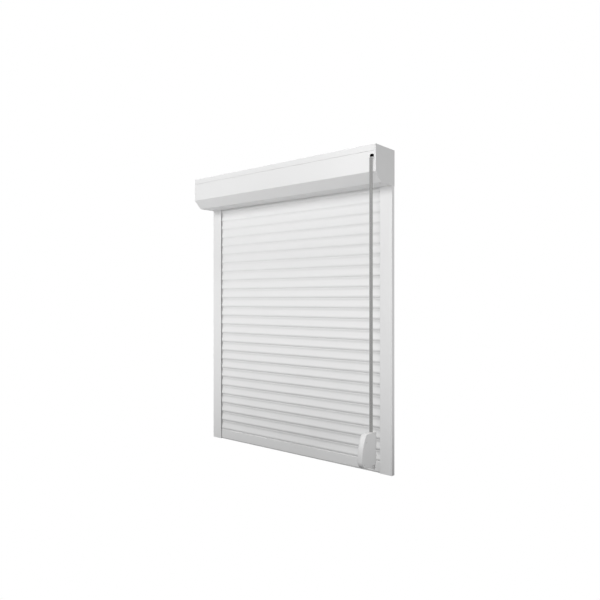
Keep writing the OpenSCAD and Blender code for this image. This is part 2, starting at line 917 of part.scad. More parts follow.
module bottom_bar() {
    z1 = bar_h - play;
    floor_z = seal_h + seal_stem_h + seal_foot_t + bar_wall;
    color("white") translate([0, slat_front, sill_z]) {
        along_x(-bar_half, bar_half) difference() {
            area([0, seal_h], [slat_t, z1]);
            area([bar_wall, floor_z], [slat_t - bar_wall, z1 - bar_wall]);
            area(
                [(slat_t - seal_stem_w) / 2 - play, seal_h - through],
                [(slat_t + seal_stem_w) / 2 + play, seal_h + seal_stem_h + through]
            );
            area(
                [bar_wall, seal_h + seal_stem_h - seal_foot_t],
                [slat_t - bar_wall, seal_h + seal_stem_h + seal_foot_t]
            );
        }
        along_x(-bar_half, bar_half) web_section(z1);
    }
}

module sill_seal() {
    color("lightgray") translate([0, slat_front, sill_z]) along_x(-bar_half, bar_half) {
        area([play, 0], [slat_t - play, seal_h - play]);
        area([(slat_t - seal_stem_w) / 2, 0], [(slat_t + seal_stem_w) / 2, seal_h + seal_stem_h]);
        area(
            [bar_wall + play, seal_h + seal_stem_h - seal_foot_t + play],
            [slat_t - bar_wall - play, seal_h + seal_stem_h]
        );
    }
}

bar_plug_in = 20;

// Plugs in the bar's ends, thick enough to stop under the rail inlets
module bar_end_plugs() {
    floor_z = seal_h + seal_stem_h + seal_foot_t + bar_wall;
    grip = bar_wall + play;
    color("dimgray") both_sides() {
        block(
            [bar_half + play, slat_front - inlet_air - lip, sill_z + seal_h],
            [slat_half, slat_back + inlet_air + lip, sill_z + bar_h - play]
        );
        block(
            [bar_half - bar_plug_in, slat_front + grip, sill_z + floor_z + play],
            [bar_half + 2 * play, slat_back - grip, sill_z + bar_h - 2 * play - bar_wall]
        );
    }
}

box_back_panel();
box_top_panel();
box_front_panel();
end_cap_left();
end_cap_right();
panel_screws();
guide_rail_left();
guide_rail_right();
rail_strips();
rail_inlets();
rail_plugs();
tube_bearings();
winding_tube();
tube_plug();
strap_pulley();
pulley_strap_coil();
curtain_hangers();
strap_guide();
guide_roller();
roller_pin();
lift_strap();
winder_case();
winder_cover();
winder_screws();
winder_base_plate();
winder_axle();
winder_reel();
winder_spring();
reel_strap_coil();
bottom_bar();
sill_seal();
bar_end_plugs();
for (i = [1:slat_n]) slat(i);
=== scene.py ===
import json
import random
from math import acos, atan2, cos, degrees, hypot, pi, radians, sin, sqrt, tan

import bmesh
import bpy
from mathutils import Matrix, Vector

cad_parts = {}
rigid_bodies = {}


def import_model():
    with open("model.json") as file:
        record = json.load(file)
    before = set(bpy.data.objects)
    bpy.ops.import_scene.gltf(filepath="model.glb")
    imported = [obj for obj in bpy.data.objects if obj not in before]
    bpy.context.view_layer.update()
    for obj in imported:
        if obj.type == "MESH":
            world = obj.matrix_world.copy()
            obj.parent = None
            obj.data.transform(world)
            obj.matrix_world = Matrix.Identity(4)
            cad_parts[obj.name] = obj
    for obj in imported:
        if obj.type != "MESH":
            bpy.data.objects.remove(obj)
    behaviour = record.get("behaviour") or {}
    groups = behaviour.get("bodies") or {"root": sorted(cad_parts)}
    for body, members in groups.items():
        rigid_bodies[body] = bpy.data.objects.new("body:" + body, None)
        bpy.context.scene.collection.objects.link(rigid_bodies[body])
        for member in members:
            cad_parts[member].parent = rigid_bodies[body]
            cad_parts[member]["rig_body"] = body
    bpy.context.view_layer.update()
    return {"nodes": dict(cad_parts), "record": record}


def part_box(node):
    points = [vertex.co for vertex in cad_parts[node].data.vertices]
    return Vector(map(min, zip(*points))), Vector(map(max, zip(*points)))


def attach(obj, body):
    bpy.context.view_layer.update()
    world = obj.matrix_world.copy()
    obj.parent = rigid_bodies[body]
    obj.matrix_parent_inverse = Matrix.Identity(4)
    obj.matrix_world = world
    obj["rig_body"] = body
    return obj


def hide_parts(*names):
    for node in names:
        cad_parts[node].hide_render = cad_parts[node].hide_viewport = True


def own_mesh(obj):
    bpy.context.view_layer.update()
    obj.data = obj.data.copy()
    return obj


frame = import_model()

scene = bpy.context.scene
nodes = frame["nodes"]
slotOf = {row["node"]: row["material_slot"] for row in frame["record"]["subparts"]}
mm = 0.001
print("frame loaded:", len(nodes), "nodes")

# camera at the photograph's place, level, 35 mm lens on a square frame
view = {"place": (1.637, -1.925, 0.116), "turn": 39.8, "lens": 35.0, "sensor": 36.0}


def placeCamera():
    data = bpy.data.cameras.new("photoCamera")
    data.lens = view["lens"]
    data.sensor_width = view["sensor"]
    camera = bpy.data.objects.new("photoCamera", data)
    camera.location = view["place"]
    camera.rotation_euler = (pi / 2, 0, radians(view["turn"]))
    scene.collection.objects.link(camera)
    scene.camera = camera
    scene.view_settings.view_transform = "Standard"


# shader helpers: an input takes a socket or a plain value
def addNode(tree, kind, inputs=None, **settings):
    node = tree.nodes.new(kind)
    for key, value in settings.items():
        setattr(node, key, value)
    for key, value in (inputs or {}).items():
        if isinstance(value, bpy.types.NodeSocket):
            tree.links.new(value, node.inputs[key])
        else:
            node.inputs[key].default_value = value
    return node


def objectPlace(tree):
    return addNode(tree, "ShaderNodeTexCoord").outputs["Object"]


def mathNode(tree, operation, a, b=0.0, clamp=False):
    node = addNode(tree, "ShaderNodeMath", {0: a, 1: b}, operation=operation, use_clamp=clamp)
    return node.outputs[0]


def noiseNode(tree, place, scale, detail, rough=0.5):
    settings = {"Vector": place, "Scale": scale, "Detail": detail, "Roughness": rough}
    return addNode(tree, "ShaderNodeTexNoise", settings).outputs["Fac"]


def mapRange(tree, value, start=(0.0, 1.0), end=(0.0, 1.0)):
    settings = {"Value": value, "From Min": start[0], "From Max": start[1],
                "To Min": end[0], "To Max": end[1]}
    return addNode(tree, "ShaderNodeMapRange", settings).outputs[0]


def bumpNode(tree, height, strength, rise):
    settings = {"Strength": strength, "Distance": rise, "Height": height}
    return addNode(tree, "ShaderNodeBump", settings).outputs[0]


def mixColour(tree, factor, a, b):
    return addNode(tree, "ShaderNodeMix", {0: factor, 6: a, 7: b}, data_type="RGBA").outputs[2]


def newGroup(name, inputs, outputs):
    group = bpy.data.node_groups.new(name, "ShaderNodeTree")
    for label, kind, value in inputs:
        socket = group.interface.new_socket(name=label, in_out="INPUT", socket_type=kind)
        socket.default_value = value
    for label, kind in outputs:
        group.interface.new_socket(name=label, in_out="OUTPUT", socket_type=kind)
    taken = group.nodes.new("NodeGroupInput").outputs
    given = group.nodes.new("NodeGroupOutput").inputs
    return group, taken, given


def giveOut(group, given, results):
    for label, socket in results.items():
        group.links.new(socket, given[label])
    return group


floatKind, vectorKind = "NodeSocketFloat", "NodeSocketVector"

# orange peel of a sprayed or moulded skin, with a slow cloud for gloss changes
peel = {"detail": 2.0, "rough": 0.45, "cloudDetail": 4.0, "cloudRough": 0.55, "rise": 0.0005}


def makeSkinGrain():
    group, taken, given = newGroup(
        "skinGrain",
        [("Scale", floatKind, 900.0), ("Depth", floatKind, 0.1), ("Cloud Scale", floatKind, 5.0)],
        [("Normal", vectorKind), ("Cloud", floatKind), ("Grain", floatKind)],
    )
    place = objectPlace(group)
    grain = noiseNode(group, place, taken["Scale"], peel["detail"], peel["rough"])
    cloud = noiseNode(group, place, taken["Cloud Scale"], peel["cloudDetail"], peel["cloudRough"])
    normal = bumpNode(group, grain, taken["Depth"], peel["rise"])
    return giveOut(group, given, {"Normal": normal, "Cloud": cloud, "Grain": grain})


# rubbed edges: where a rounded normal leaves the true one, broken up by noise
rubbing = {"samples": 4, "gain": 5.0, "scale": 60.0, "detail": 5.0, "patch": (0.42, 0.66)}


def makeEdgeRub():
    group, taken, given = newGroup(
        "edgeRub",
        [("Width", floatKind, 0.0012), ("Amount", floatKind, 0.5)],
        [("Mask", floatKind)],
    )
    soft = addNode(group, "ShaderNodeBevel", {"Radius": taken["Width"]}, samples=rubbing["samples"])
    true = addNode(group, "ShaderNodeNewGeometry").outputs["Normal"]
    dot = addNode(group, "ShaderNodeVectorMath", {0: soft.outputs[0], 1: true}, operation="DOT_PRODUCT")
    edge = mathNode(group, "SUBTRACT", 1.0, dot.outputs["Value"], clamp=True)
    edge = mathNode(group, "MULTIPLY", edge, rubbing["gain"], clamp=True)
    breaks = noiseNode(group, objectPlace(group), rubbing["scale"], rubbing["detail"])
    mask = mathNode(group, "MULTIPLY", edge, mapRange(group, breaks, rubbing["patch"]))
    return giveOut(group, given, {"Mask": mathNode(group, "MULTIPLY", mask, taken["Amount"])})


# dust that settles on faces that look up; the same mask, turned up, paints shade on a top
settling = {"scale": 38.0, "detail": 6.0, "rough": 0.7, "patch": (0.35, 0.75), "lying": (0.3, 0.95)}


def makeSettledDustAndShade():
    group, taken, given = newGroup("settledDustAndShade", [("Amount", floatKind, 0.2)], [("Mask", floatKind)])
    normal = addNode(group, "ShaderNodeNewGeometry").outputs["Normal"]
    up = addNode(group, "ShaderNodeSeparateXYZ", {0: normal}).outputs["Z"]
    speck = noiseNode(group, objectPlace(group), settling["scale"], settling["detail"], settling["rough"])
    patch = mapRange(group, speck, settling["patch"])
    mask = mathNode(group, "MULTIPLY", patch, mapRange(group, up, settling["lying"]))
    return giveOut(group, given, {"Mask": mathNode(group, "MULTIPLY", mask, taken["Amount"])})


# lines left by a die, a roll or a brush, long in one direction
drawing = {"detail": 3.0, "rise": 0.0002}


def makeDrawnLines():
    group, taken, given = newGroup(
        "drawnLines",
        [("Stretch", vectorKind, (4.0, 900.0, 900.0)), ("Depth", floatKind, 0.1)],
        [("Lines", floatKind), ("Normal", vectorKind)],
    )
    place = {0: objectPlace(group), 1: taken["Stretch"]}
    drawn = addNode(group, "ShaderNodeVectorMath", place, operation="MULTIPLY").outputs[0]
    lines = noiseNode(group, drawn, 1.0, drawing["detail"])
    normal = bumpNode(group, lines, taken["Depth"], drawing["rise"])
    return giveOut(group, given, {"Lines": lines, "Normal": normal})


# twill of the strap: warp ribs along it, weft steps across it
weaving = {"lift": 1.6, "slant": 0.5, "fuzzScale": 2400.0, "fuzzDetail": 4.0, "fuzzShare": 0.3,
           "rise": 0.0003}


def makeStrapTwill():
    group, taken, given = newGroup(
        "strapTwill",
        [("Warp", floatKind, 0.0011), ("Weft", floatKind, 0.0014), ("Depth", floatKind, 0.5)],
        [("Thread", floatKind), ("Normal", vectorKind), ("Fuzz", floatKind)],
    )

    def wave(turns):  # a sine lifted above zero
        value = mathNode(group, "SINE", mathNode(group, "MULTIPLY", turns, 2 * pi))
        return mathNode(group, "ADD", value, weaving["lift"])

    place = objectPlace(group)
    axes = addNode(group, "ShaderNodeSeparateXYZ", {0: place})
    along = mathNode(group, "SUBTRACT", axes.outputs["Z"], axes.outputs["Y"])
    warp = mathNode(group, "DIVIDE", axes.outputs["X"], taken["Warp"])
    weft = mathNode(group, "DIVIDE", along, taken["Weft"])
    diagonal = mathNode(group, "ADD", mathNode(group, "MULTIPLY", warp, weaving["slant"]), weft)
    cloth = mathNode(group, "MULTIPLY", wave(warp), wave(diagonal))
    thread = mathNode(group, "DIVIDE", cloth, (1 + weaving["lift"]) ** 2)
    fuzz = noiseNode(group, place, weaving["fuzzScale"], weaving["fuzzDetail"])
    height = mathNode(group, "ADD", thread, mathNode(group, "MULTIPLY", fuzz, weaving["fuzzShare"]))
    normal = bumpNode(group, height, taken["Depth"], weaving["rise"])
    return giveOut(group, given, {"Thread": thread, "Normal": normal, "Fuzz": fuzz})


skinGrain = makeSkinGrain()
edgeRub = makeEdgeRub()
settledDustAndShade = makeSettledDustAndShade()
drawnLines = makeDrawnLines()
strapTwill = makeStrapTwill()
print("node groups made")


def placeGroup(tree, group, inputs):
    return addNode(tree, "ShaderNodeGroup", inputs, node_tree=group).outputs


def newMaterial(name):
    material = bpy.data.materials.new(name)
    material.use_nodes = True
    tree = material.node_tree
    return material, tree, tree.nodes["Principled BSDF"]


def wireShader(tree, shader, tone, rough, normal):
    for label, socket in (("Base Color", tone), ("Roughness", rough), ("Normal", normal)):
        tree.links.new(socket, shader.inputs[label])


def grey(value):
    return (value, value, value, 1.0)


# white coats: tone, gloss range, peel and how much the edges and tops show use; on the white plastic the
# tops' share is mostly painted shade
# box, end caps, rails, slats and bar share one white paint: its tone is set darker on the box and end caps
# as painted shade and lighter on the rails, slats and bar as painted light
coats = {
    "boxCoatShaded": {"tone": 0.75, "shade": 0.72, "gloss": (0.32, 0.44), "scale": 850.0, "depth": 0.10,
                "rub": 0.30, "dustAndShade": 0.22, "specular": 0.45},
    "capCoatShaded": {"tone": 0.76, "shade": 0.73, "gloss": (0.34, 0.46), "scale": 1100.0, "depth": 0.14,
                "rub": 0.35, "dustAndShade": 0.22, "specular": 0.45},
    "railCoatLit": {"tone": 0.86, "shade": 0.83, "gloss": (0.33, 0.45), "scale": 900.0, "depth": 0.09,
                 "rub": 0.35, "dustAndShade": 0.15, "specular": 0.45, "stretch": (700.0, 700.0, 3.0)},
    "slatCoat": {"tone": 0.89, "shade": 0.86, "gloss": (0.36, 0.50), "scale": 1600.0, "depth": 0.06,
                 "rub": 0.25, "dustAndShade": 0.18, "specular": 0.40, "stretch": (3.0, 800.0, 800.0)},
    "barCoatLit": {"tone": 0.86, "shade": 0.83, "gloss": (0.36, 0.48), "scale": 900.0, "depth": 0.08,
                "rub": 0.35, "dustAndShade": 0.18, "specular": 0.42, "stretch": (3.0, 700.0, 700.0)},
    # white plastic: its large top amount paints shade on the winder case's top, over a little dust
    "whitePlastic": {"tone": 0.77, "shade": 0.74, "gloss": (0.30, 0.40), "scale": 1900.0, "depth": 0.08,
                     "rub": 0.20, "dustAndShade": 0.65, "specular": 0.45},
    # the cover is the case's white plastic, its tone set lighter as painted light on the winder's side
    "coverPlasticLit": {"tone": 0.94, "shade": 0.92, "gloss": (0.24, 0.34), "scale": 2200.0, "depth": 0.05,
                     "rub": 0.20, "dustAndShade": 0.20, "specular": 0.5},
}
coatUse = {"rubWidth": 0.0010, "rubTone": (0.62, 0.61, 0.59, 1.0), "dustAndShadeTone": (0.56, 0.54, 0.50, 1.0),
           "dustAndShadeRough": 0.6, "lineDepth": 0.05, "lineShare": 0.10, "lineTone": 0.70, "cloud": (0.3, 0.7)}


def makeCoat(name):
    look, use = coats[name], coatUse
    material, tree, shader = newMaterial(name)
    skin = placeGroup(tree, skinGrain, {"Scale": look["scale"], "Depth": look["depth"]})
    rub = placeGroup(tree, edgeRub, {"Width": use["rubWidth"], "Amount": look["rub"]})
    dustAndShade = placeGroup(tree, settledDustAndShade, {"Amount": look["dustAndShade"]})
    tone = mixColour(tree, skin["Cloud"], grey(look["shade"]), grey(look["tone"]))
    if "stretch" in look:  # faint die or roll lines under the coat
        lines = placeGroup(tree, drawnLines, {"Stretch": look["stretch"], "Depth": use["lineDepth"]})
        share = mathNode(tree, "MULTIPLY", lines["Lines"], use["lineShare"])
        tone = mixColour(tree, share, tone, grey(use["lineTone"]))
    # tops darkened: settled dust, and on the white plastic painted shade as well
    tone = mixColour(tree, dustAndShade["Mask"], tone, use["dustAndShadeTone"])
    tone = mixColour(tree, rub["Mask"], tone, use["rubTone"])
    rough = mapRange(tree, skin["Cloud"], use["cloud"], look["gloss"])
    rough = mathNode(tree, "ADD", rough, mathNode(tree, "MULTIPLY", dustAndShade["Mask"], use["dustAndShadeRough"]))
    wireShader(tree, shader, tone, rough, skin["Normal"])
    shader.inputs["Specular IOR Level"].default_value = look["specular"]
    return material


# bare metals: zinc on screws, bright steel, blued spring steel
metals = {
    "zincScrew": {"tone": (0.62, 0.63, 0.65, 1), "tint": (0.70, 0.67, 0.58, 1), "gloss": (0.22, 0.42),
                  "stretch": (900.0, 900.0, 900.0)},
    "brightSteel": {"tone": (0.60, 0.60, 0.61, 1), "tint": (0.50, 0.50, 0.52, 1), "gloss": (0.22, 0.40),
                    "stretch": (6.0, 900.0, 900.0)},
    "springSteel": {"tone": (0.36, 0.37, 0.40, 1), "tint": (0.26, 0.27, 0.32, 1), "gloss": (0.28, 0.45),
                    "stretch": (900.0, 40.0, 40.0)},
}
metalUse = {"scale": 1500.0, "depth": 0.03, "cloudScale": 60.0, "lineDepth": 0.12,
            "rubWidth": 0.0006, "rub": 0.5, "rubTone": (0.78, 0.78, 0.78, 1)}


def makeMetal(name):
    look, use = metals[name], metalUse
    material, tree, shader = newMaterial(name)
    skin = placeGroup(tree, skinGrain,
                      {"Scale": use["scale"], "Depth": use["depth"], "Cloud Scale": use["cloudScale"]})
    lines = placeGroup(tree, drawnLines, {"Stretch": look["stretch"], "Depth": use["lineDepth"]})
    rub = placeGroup(tree, edgeRub, {"Width": use["rubWidth"], "Amount": use["rub"]})
    tone = mixColour(tree, skin["Cloud"], look["tone"], look["tint"])
    tone = mixColour(tree, rub["Mask"], tone, use["rubTone"])
    rough = mapRange(tree, lines["Lines"], end=look["gloss"])
    wireShader(tree, shader, tone, rough, lines["Normal"])
    shader.inputs["Metallic"].default_value = 1.0
    return material


# moulded plastics and rubber: tone, gloss, grain
mouldings = {
    "blackPlastic": {"tone": 0.030, "shade": 0.022, "gloss": (0.38, 0.52), "scale": 1800.0, "depth": 0.20,
                     "worn": 0.16, "specular": 0.5},
    "greyPlastic": {"tone": 0.20, "shade": 0.17, "gloss": (0.42, 0.56), "scale": 1800.0, "depth": 0.18,
                    "worn": 0.34, "specular": 0.45},
    "rollerPlastic": {"tone": 0.62, "shade": 0.58, "gloss": (0.26, 0.40), "scale": 2200.0, "depth": 0.08,
                      "worn": 0.50, "specular": 0.5},
    "paleRubber": {"tone": 0.60, "shade": 0.55, "gloss": (0.55, 0.72), "scale": 2600.0, "depth": 0.30,
                   "worn": 0.66, "specular": 0.3},
    "darkRubber": {"tone": 0.022, "shade": 0.015, "gloss": (0.60, 0.78), "scale": 2600.0, "depth": 0.35,
                   "worn": 0.08, "specular": 0.3},
    "pileBlack": {"tone": 0.014, "shade": 0.009, "gloss": (0.75, 0.92), "scale": 5200.0, "depth": 0.6,
                  "worn": 0.03, "specular": 0.15},
}
mouldUse = {"cloudScale": 24.0, "rubWidth": 0.0008, "rub": 0.55, "dustAndShade": 0.25,
            "dustAndShadeTone": (0.22, 0.21, 0.19, 1), "grain": (0.3, 0.7)}


def makeMoulding(name):
    look, use = mouldings[name], mouldUse
    material, tree, shader = newMaterial(name)
    skin = placeGroup(tree, skinGrain,
                      {"Scale": look["scale"], "Depth": look["depth"], "Cloud Scale": use["cloudScale"]})
    rub = placeGroup(tree, edgeRub, {"Width": use["rubWidth"], "Amount": use["rub"]})
    dustAndShade = placeGroup(tree, settledDustAndShade, {"Amount": use["dustAndShade"]})
    tone = mixColour(tree, skin["Cloud"], grey(look["shade"]), grey(look["tone"]))
    tone = mixColour(tree, rub["Mask"], tone, grey(look["worn"]))
    tone = mixColour(tree, dustAndShade["Mask"], tone, use["dustAndShadeTone"])
    rough = mapRange(tree, skin["Grain"], use["grain"], look["gloss"])
    wireShader(tree, shader, tone, rough, skin["Normal"])
    shader.inputs["Specular IOR Level"].default_value = look["specular"]
    return material


# grey woven tape, its weave's hollows painted darker as shade
webbing = {"deep": (0.22, 0.22, 0.22, 1), "crown": (0.455, 0.455, 0.45, 1), "fuzz": (0.55, 0.55, 0.54, 1),
           "depth": 0.7, "scale": 3000.0, "cloudScale": 30.0, "fuzzShare": 0.25, "cloudShare": 0.18,
           "gloss": (0.92, 0.72), "sheen": 0.15, "specular": 0.2}


def makeWebbing():
    w = webbing
    material, tree, shader = newMaterial("strapWebbing")
    twill = placeGroup(tree, strapTwill, {"Depth": w["depth"]})
    skin = placeGroup(tree, skinGrain, {"Scale": w["scale"], "Cloud Scale": w["cloudScale"]})
    # the twill's low parts take the deep tone: painted shade in the weave's hollows
    tone = mixColour(tree, twill["Thread"], w["deep"], w["crown"])
    tone = mixColour(tree, mathNode(tree, "MULTIPLY", twill["Fuzz"], w["fuzzShare"]), tone, w["fuzz"])
    tone = mixColour(tree, mathNode(tree, "MULTIPLY", skin["Cloud"], w["cloudShare"]), tone, w["deep"])
    rough = mapRange(tree, twill["Thread"], end=w["gloss"])
    wireShader(tree, shader, tone, rough, twill["Normal"])
    shader.inputs["Sheen Weight"].default_value = w["sheen"]
    shader.inputs["Specular IOR Level"].default_value = w["specular"]
    return material


finish = {name: makeCoat(name) for name in coats}
finish.update({name: makeMetal(name) for name in metals})
finish.update({name: makeMoulding(name) for name in mouldings})
finish["strapWebbing"] = makeWebbing()
finishOfSlot = {
    "box_coat": "boxCoatShaded", "cap_coat": "capCoatShaded", "rail_coat": "railCoatLit", "slat_coat": "slatCoat",
    "bar_coat": "barCoatLit", "white_plastic": "whitePlastic", "zinc_screw": "zincScrew",
    "steel": "brightSteel", "spring_steel": "springSteel", "black_plastic": "blackPlastic",
    "grey_plastic": "greyPlastic", "roller_plastic": "rollerPlastic", "dark_rubber": "darkRubber",
    "pale_rubber": "paleRubber", "strap_webbing": "strapWebbing",
}
for name, node in nodes.items():  # every carried-over node gets its finish, shown or not
    coat = finish[finishOfSlot[slotOf[name]]]
    if node.material_slots:
        node.material_slots[0].material = coat
    else:
        node.data.materials.append(coat)
print("materials made:", len(finish))

# mesh helpers, lengths in millimetres, angles in degrees
meshing = {"most": 0.48, "sharp": 25.0, "weld": 1e-6, "nodeWeld": 2e-6, "flat": 0.4, "slack": 0.05}


def addPoint(bm, x, y, z):
    return bm.verts.new((x * mm, y * mm, z * mm))


def arcLine(centre, radius, a0, a1, steps):
    line = []
    for i in range(steps + 1):
        a = radians(a0 + (a1 - a0) * i / steps)
        line.append((centre[0] + radius * cos(a), centre[1] + radius * sin(a)))
    return line


# corners rounded by their own radii, each rounding kept to just under half a side
def roundLine(points, radii, steps, closed=True):
    count = len(points)
    line = []
    for i, (point, radius) in enumerate(zip(points, radii)):
        here = Vector(point)
        if radius <= 0 or (not closed and i in (0, count - 1)):
            line.append(here)
            continue
        before = Vector(points[i - 1]) - here
        after = Vector(points[(i + 1) % count]) - here
        half = before.angle(after) / 2
        reach = min(radius / tan(half), meshing["most"] * before.length, meshing["most"] * after.length)
        radius = reach * tan(half)
        before.normalize()
        after.normalize()
        centre = here + (before + after).normalized() * (radius / sin(half))
        first = here + before * reach - centre
        last = here + after * reach - centre
        turn = atan2(first.x * last.y - first.y * last.x, first.dot(last))
        for k in range(steps + 1):
            c, s = cos(turn * k / steps), sin(turn * k / steps)
            line.append(centre + Vector((first.x * c - first.y * s, first.x * s + first.y * c)))
    return line


def joinRings(bm, rings):
    for a, b in zip(rings, rings[1:]):
        count = max(len(a), len(b))
        for k in range(count):
            corners = [a[k % len(a)], a[(k + 1) % len(a)], b[(k + 1) % len(b)], b[k % len(b)]]
            unique = [v for i, v in enumerate(corners) if v not in corners[:i]]
            if len(unique) > 2:
                bm.faces.new(unique)


def closedRun(bm, rings):  # rings joined into a solid run with both ends closed
    joinRings(bm, rings)
    bm.faces.new(rings[0][::-1])
    bm.faces.new(rings[-1])


def prismX(bm, outline, x0, x1):
    closedRun(bm, [[addPoint(bm, x, p[0], p[1]) for p in outline] for x in (x0, x1)])


# a folded sheet: its outer line runs down the front with the inside on its left
def foldedSheet(bm, line, thickness, stations, openings=()):
    count = len(line)
    inner = []
    for i in range(count):
        here = Vector(line[i])
        sides = []
        if i > 0:
            d = (here - Vector(line[i - 1])).normalized()
            sides.append(Vector((-d.y, d.x)))
        if i < count - 1:
            d = (Vector(line[i + 1]) - here).normalized()
            sides.append(Vector((-d.y, d.x)))
        normal = sum(sides, Vector((0, 0))).normalized()
        inner.append(here + normal * (thickness / normal.dot(sides[0])))
    outside, inside = [
        [[addPoint(bm, x, p[0], p[1]) for x in stations] for p in points] for points in (line, inner)
    ]
    cells = {(i, j) for i in range(count - 1) for j in range(len(stations) - 1)} - set(openings)
    for i, j in cells:
        bm.faces.new((outside[i][j], outside[i + 1][j], outside[i + 1][j + 1], outside[i][j + 1]))
        bm.faces.new((inside[i][j + 1], inside[i + 1][j + 1], inside[i + 1][j], inside[i][j]))
        rims = {
            (i - 1, j): ((i, j), (i, j + 1)), (i + 1, j): ((i + 1, j), (i + 1, j + 1)),
            (i, j - 1): ((i, j), (i + 1, j)), (i, j + 1): ((i, j + 1), (i + 1, j + 1)),
        }
        for cell, ((a, b), (c, d)) in rims.items():
            if cell not in cells:
                bm.faces.new((outside[a][b], outside[c][d], inside[c][d], inside[a][b]))
    bmesh.ops.delete(bm, geom=[v for v in bm.verts if not v.link_faces], context="VERTS")


def turnedY(bm, centre, line, steps):  # a turned form about an axis along Y, line of (radius, y)
    rings = []
    for radius, y in line:
        if not radius:
            rings.append([addPoint(bm, centre[0], y, centre[1])])
            continue
        ring = []
        for k in range(steps):
            a = 2 * pi * k / steps
            ring.append(addPoint(bm, centre[0] + radius * cos(a), y, centre[1] + radius * sin(a)))
        rings.append(ring)
    joinRings(bm, rings)


def near(value, target, slack=meshing["slack"]):
    return abs(value - target) < slack


# ways to pick edges, axis 0 to 2 for X to Z
def every(edge):
    return True


def steeper(edge, angle):
    return edge.calc_face_angle(0) > radians(angle)


def bothAt(edge, axis, *places):
    return all(any(near(v.co[axis] / mm, place) for place in places) for v in edge.verts)


def sameOn(edge, *axes):
    a, b = edge.verts
    return all(near(a.co[axis], b.co[axis], meshing["weld"]) for axis in axes)


def breakEdges(bm, pick, width, steps=2):
    bmesh.ops.recalc_face_normals(bm, faces=bm.faces)
    edges = [e for e in bm.edges if len(e.link_faces) == 2 and steeper(e, meshing["sharp"]) and pick(e)]
    if edges:
        bmesh.ops.bevel(bm, geom=edges, offset=width * mm, offset_type="OFFSET", segments=steps,
                        profile=0.5, affect="EDGES", clamp_overlap=True)
        bmesh.ops.remove_doubles(bm, verts=bm.verts, dist=meshing["weld"])


def nodeShape(name):  # a node's own surfaces, welded, with flat faces joined
    bm = bmesh.new()
    data = nodes[name].data
    points = [bm.verts.new(v.co) for v in data.vertices]
    for polygon in data.polygons:
        bm.faces.new([points[i] for i in polygon.vertices])
    bmesh.ops.remove_doubles(bm, verts=bm.verts, dist=meshing["nodeWeld"])
    bmesh.ops.dissolve_limit(bm, angle_limit=radians(meshing["flat"]), verts=bm.verts, edges=bm.edges)
    return bm


def keepPiece(name, bm, stands, coat=None, smooth=32):
    bmesh.ops.recalc_face_normals(bm, faces=bm.faces)
    mesh = bpy.data.meshes.new(name)
    bm.to_mesh(mesh)
    bm.free()
    mesh.shade_smooth()
    mesh.set_sharp_from_angle(angle=radians(smooth))
    piece = bpy.data.objects.new(name, mesh)
    scene.collection.objects.link(piece)
    mesh.materials.append(finish[coat or finishOfSlot[slotOf[stands]]])
    flat = piece.modifiers.new("flatFaces", "WEIGHTED_NORMAL")
    flat.keep_sharp = True
    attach(piece, nodes[stands]["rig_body"])
    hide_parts(stands)
    return piece


# roller box: folded panels and cast end caps
box = {"front": -133.0, "bottom": 547.0, "top": 682.0, "chamfer": 35.0, "half": 496.0, "sheet": 1.5,
       "fold": 2.6, "hem": 1.9, "throat": -15.0, "hemTop": 553.0, "panelTop": 658.0, "flangeEnd": 659.0,
       "outletX": (474.5, 491.5), "outletZ": (646.5, 626.6), "outletRound": 4.5,
       "tongueZ": (652.0, 678.8), "tongueHalf": 477.9, "tongueGap": 0.02, "edge": 0.3}


def makeBoxPanels():
    b = box
    front, half = b["front"], b["half"]
    outletTop, outletLow = b["outletZ"]
    points = [(front, b["panelTop"]), (front, outletTop), (front, outletLow),
              (front, b["bottom"] + b["chamfer"]), (front + b["chamfer"], b["bottom"]),
              (b["throat"], b["bottom"]), (b["throat"], b["hemTop"])]
    line = roundLine(points, [0, 0, 0, b["fold"], b["fold"], b["hem"], 0], steps=5, closed=False)

    def outletCorner(edge):  # the outlet's two upper corners, through the sheet
        return bothAt(edge, 2, outletTop) and bothAt(edge, 0, *b["outletX"]) and sameOn(edge, 0)

    bm = bmesh.new()
    foldedSheet(bm, line, b["sheet"], [-half, *b["outletX"], half], openings=[(1, 1)])
    breakEdges(bm, outletCorner, b["outletRound"], steps=6)
    breakEdges(bm, every, b["edge"])
    keepPiece("boxFrontPanel", bm, "box_front_panel", smooth=40)

    points = [(0, b["top"]), (front, b["top"]), (front, b["flangeEnd"])]
    line = roundLine(points, [0, b["fold"], 0], steps=6, closed=False)
    bm = bmesh.new()
    foldedSheet(bm, line, b["sheet"], [-half, half])
    tongueFront = front + b["sheet"] + b["tongueGap"]  # the tongue lies behind the flange
    tongueRear = front + 2 * b["sheet"]
    low, high = b["tongueZ"]
    tongue = [(tongueFront, low), (tongueRear, low), (tongueRear, high), (tongueFront, high)]
    prismX(bm, tongue, -b["tongueHalf"], b["tongueHalf"])
    breakEdges(bm, every, b["edge"])
    keepPiece("boxTopPanel", bm, "box_top_panel", smooth=40)

    bm = nodeShape("box_back_panel")
    breakEdges(bm, every, b["edge"])
    keepPiece("boxBackPanel", bm, "box_back_panel")


endCap = {"face": 500.0, "rim": 1.8, "rimY": -9.5, "rimZ": 678.0, "skin": 495.8, "steep": 50.0, "edge": 0.3}


